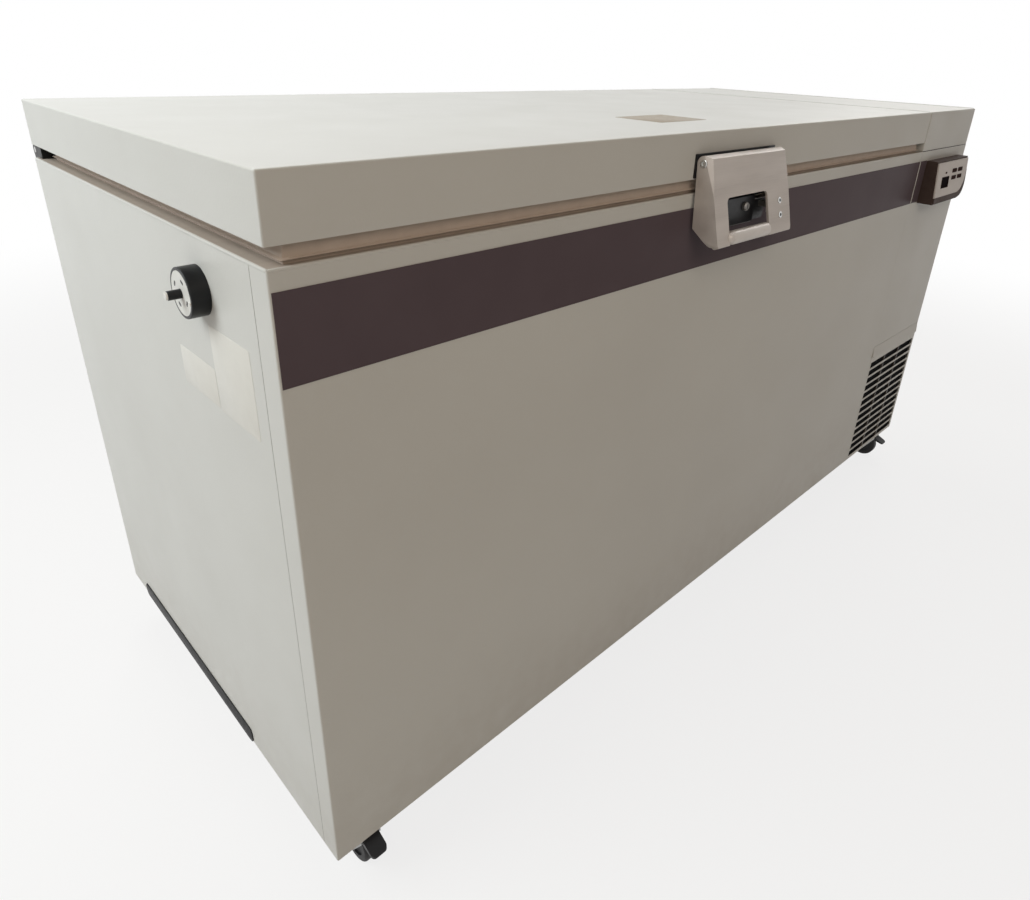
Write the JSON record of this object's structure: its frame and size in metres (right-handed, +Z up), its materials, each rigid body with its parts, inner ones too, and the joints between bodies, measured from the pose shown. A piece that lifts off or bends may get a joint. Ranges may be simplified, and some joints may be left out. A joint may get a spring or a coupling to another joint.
{
  "type": "ultra low temperature freezer",
  "caption": "Chest-type ultra low temperature freezer with a hinged lid, front latch handle, dark band, control panel, side port, bay grille and casters",
  "frame": {"origin": "on the floor under the middle of the overall box", "axes": "+X to the right along the front, +Y from the front to the rear, +Z up"},
  "size_m": [2.078, 0.942, 1.08],
  "materials": {
    "cabinet_paint": "satin",
    "band_film": "satin",
    "black_plastic": "satin",
    "dark_grey_plastic": "satin",
    "light_grey_plastic": "satin",
    "white_plastic": "satin",
    "frame_plastic": "satin",
    "handle_metal": "satin",
    "stainless": "satin",
    "plated_steel": "polished",
    "black_casting": "satin",
    "fin_aluminium": "satin",
    "copper": "satin",
    "display_glass": "gloss",
    "gasket_rubber": "matte",
    "black_rubber": "matte",
    "wheel_tread": "matte",
    "foam": "matte",
    "filter_mat": "matte"
  },
  "bodies": {
    "cabinet": {"front_panel": "cabinet_paint", "left_side_panel": "cabinet_paint", "right_side_panel": "cabinet_paint", "rear_panel": "cabinet_paint", "base_pan": "cabinet_paint", "bay_partition": "cabinet_paint", "bay_front_panel": "cabinet_paint", "bay_top_cover": "cabinet_paint", "front_band": "band_film", "breaker_frame": "frame_plastic", "inner_liner": "stainless", "evaporator_coil": "copper", "insulation_foam": "foam", "edge_guard": "black_rubber", "port_collar": "black_plastic", "port_disc": "white_plastic", "hinge_brackets": "black_casting", "hinge_pins": "plated_steel", "strike_housing": "black_plastic", "strike_bar": "plated_steel", "control_housing": "dark_grey_plastic", "control_fascia": "light_grey_plastic", "display_window": "display_glass", "front_grille": "cabinet_paint", "air_filter": "filter_mat", "condenser_coil": "fin_aluminium", "fan_shroud": "black_plastic", "fan_motor": "black_casting", "compressor_feet": "black_rubber", "first_stage_compressor": "black_casting", "second_stage_compressor": "black_casting", "cascade_exchanger": "black_rubber", "electrical_box": "light_grey_plastic", "cable_gland": "black_plastic", "caster_plates": "plated_steel", "rear_caster_forks": "plated_steel"},
    "lid": {"lid_shell": "cabinet_paint", "lid_liner": "frame_plastic", "lid_foam": "foam", "lid_gasket": "gasket_rubber", "hinge_leaves": "black_casting", "latch_mount": "black_casting", "latch_pivot_pin": "plated_steel"},
    "latch": {"latch_handle": "handle_metal", "latch_hook": "plated_steel"},
    "lock": {"lock_cylinder": "plated_steel"},
    "port_stem": {"port_plunger": "black_plastic"},
    "fan": {"fan_rotor": "fin_aluminium"},
    "key_1": {"panel_key_1": "dark_grey_plastic"},
    "key_2": {"panel_key_2": "dark_grey_plastic"},
    "key_3": {"panel_key_3": "dark_grey_plastic"},
    "key_4": {"panel_key_4": "dark_grey_plastic"},
    "front_left_fork": {"front_left_caster_fork": "plated_steel"},
    "front_left_pedal": {"front_left_brake_pedal": "black_plastic"},
    "front_left_caster_wheel": {"front_left_wheel": "wheel_tread"},
    "rear_left_caster_wheel": {"rear_left_wheel": "wheel_tread"},
    "front_right_fork": {"front_right_caster_fork": "plated_steel"},
    "front_right_pedal": {"front_right_brake_pedal": "black_plastic"},
    "front_right_caster_wheel": {"front_right_wheel": "wheel_tread"},
    "rear_right_caster_wheel": {"rear_right_wheel": "wheel_tread"}
  },
  "joints": [
    {"name": "lid_hinge", "type": "hinge", "parent": "cabinet", "child": "lid", "pos_m": [0, 0.46, 0.997], "axis": [-1, 0, 0], "range_deg": [0, 85]},
    {"name": "latch_pivot", "type": "hinge", "parent": "lid", "child": "latch", "pos_m": [-0.1745, -0.423, 1.034], "axis": [-1, 0, 0], "range_deg": [-3.5, 45]},
    {"name": "lock_turn", "type": "hinge", "parent": "cabinet", "child": "lock", "pos_m": [-0.169, -0.434, 0.957], "axis": [0, -1, 0], "range_deg": [0, 90]},
    {"name": "port_push", "type": "slide", "parent": "cabinet", "child": "port_stem", "axis": [1, 0, 0], "range_m": [0, 0.006], "stiffness_N_per_m": 400},
    {"name": "fan_spin", "type": "hinge", "parent": "cabinet", "child": "fan", "pos_m": [0.87375, -0.292, 0.268], "axis": [0, 1, 0], "continuous": true},
    {"name": "key_1_press", "type": "slide", "parent": "cabinet", "child": "key_1", "axis": [0, 0.9957, -0.0931], "range_m": [0, 0.0008], "stiffness_N_per_m": 600},
    {"name": "key_2_press", "type": "slide", "parent": "cabinet", "child": "key_2", "axis": [0, 0.9957, -0.0931], "range_m": [0, 0.0008], "stiffness_N_per_m": 600},
    {"name": "key_3_press", "type": "slide", "parent": "cabinet", "child": "key_3", "axis": [0, 0.9957, -0.0931], "range_m": [0, 0.0008], "stiffness_N_per_m": 600},
    {"name": "key_4_press", "type": "slide", "parent": "cabinet", "child": "key_4", "axis": [0, 0.9957, -0.0931], "range_m": [0, 0.0008], "stiffness_N_per_m": 600},
    {"name": "front_left_swivel", "type": "hinge", "parent": "cabinet", "child": "front_left_fork", "pos_m": [-0.939, -0.333, 0.082], "axis": [0, 0, 1], "continuous": true},
    {"name": "front_left_roll", "type": "hinge", "parent": "front_left_fork", "child": "front_left_caster_wheel", "pos_m": [-0.939, -0.361, 0.0375], "axis": [1, 0, 0], "continuous": true},
    {"name": "front_left_brake", "type": "hinge", "parent": "front_left_fork", "child": "front_left_pedal", "pos_m": [-0.939, -0.38928, 0.07121], "axis": [-1, 0, 0], "range_deg": [0, 25]},
    {"name": "rear_left_roll", "type": "hinge", "parent": "cabinet", "child": "rear_left_caster_wheel", "pos_m": [-0.939, 0.397, 0.0375], "axis": [1, 0, 0], "continuous": true},
    {"name": "front_right_swivel", "type": "hinge", "parent": "cabinet", "child": "front_right_fork", "pos_m": [0.977, -0.333, 0.082], "axis": [0, 0, 1], "continuous": true},
    {"name": "front_right_roll", "type": "hinge", "parent": "front_right_fork", "child": "front_right_caster_wheel", "pos_m": [0.977, -0.361, 0.0375], "axis": [1, 0, 0], "continuous": true},
    {"name": "front_right_brake", "type": "hinge", "parent": "front_right_fork", "child": "front_right_pedal", "pos_m": [0.977, -0.38928, 0.07121], "axis": [-1, 0, 0], "range_deg": [0, 25]},
    {"name": "rear_right_roll", "type": "hinge", "parent": "cabinet", "child": "rear_right_caster_wheel", "pos_m": [0.977, 0.397, 0.0375], "axis": [1, 0, 0], "continuous": true}
  ]
}
